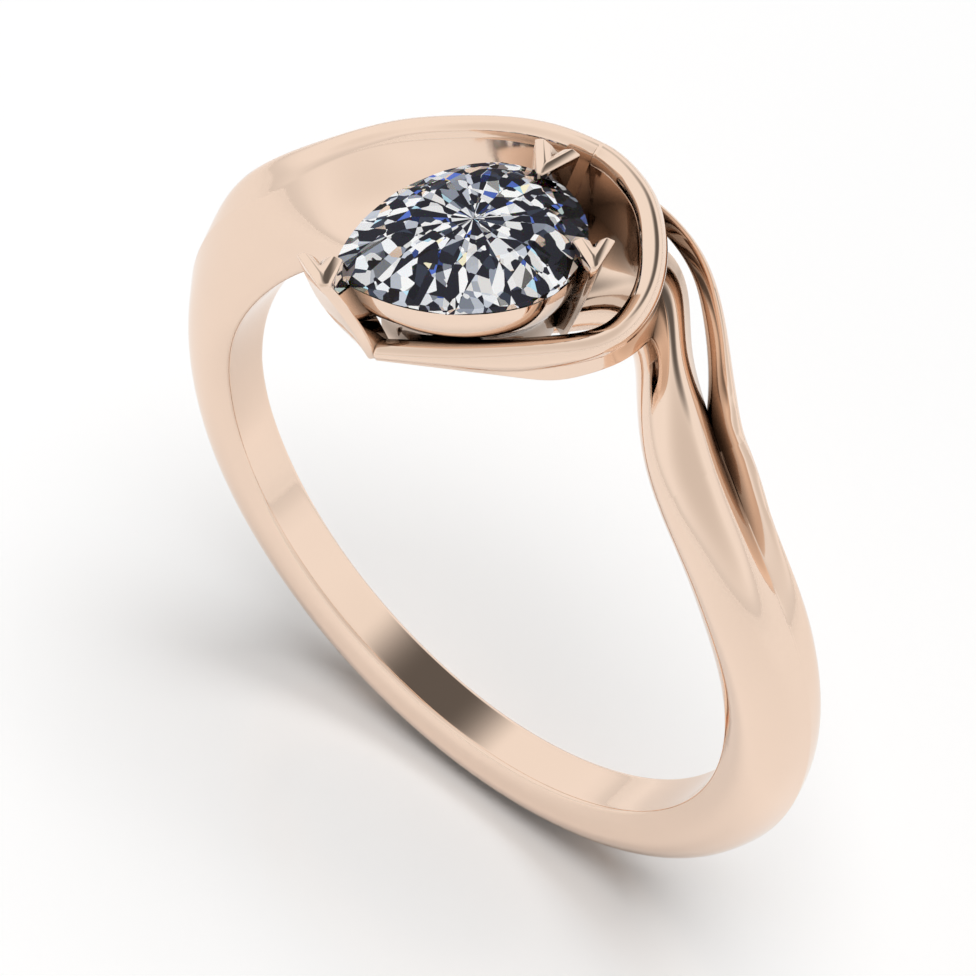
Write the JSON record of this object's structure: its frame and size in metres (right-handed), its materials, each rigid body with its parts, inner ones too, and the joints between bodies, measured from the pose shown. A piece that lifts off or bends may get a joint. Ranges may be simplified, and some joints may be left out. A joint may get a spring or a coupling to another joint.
{
  "type": "engagement ring",
  "caption": "Rose gold engagement ring: a pear-shaped brilliant in claws, held in a swirl formed by the band.",
  "frame": {"origin": "centre of the finger bore, on the bore's axis, in the plane of the plain band", "axes": "+Y along the finger bore, +Z towards the stone, +X to the side where the band forks"},
  "size_m": [0.0214, 0.0088, 0.0231],
  "materials": {
    "band_gold": "polished rose gold",
    "setting_gold": "polished rose gold",
    "diamond": "faceted and polished"
  },
  "bodies": {
    "root": {"shank": "band_gold", "shoulder": "band_gold", "swirl_rail": "band_gold", "front_strand": "band_gold", "back_strand": "band_gold", "collet": "setting_gold", "tip_claw": "setting_gold", "rear_claw": "setting_gold", "side_claw": "setting_gold", "diamond": "diamond"}
  },
  "joints": []
}
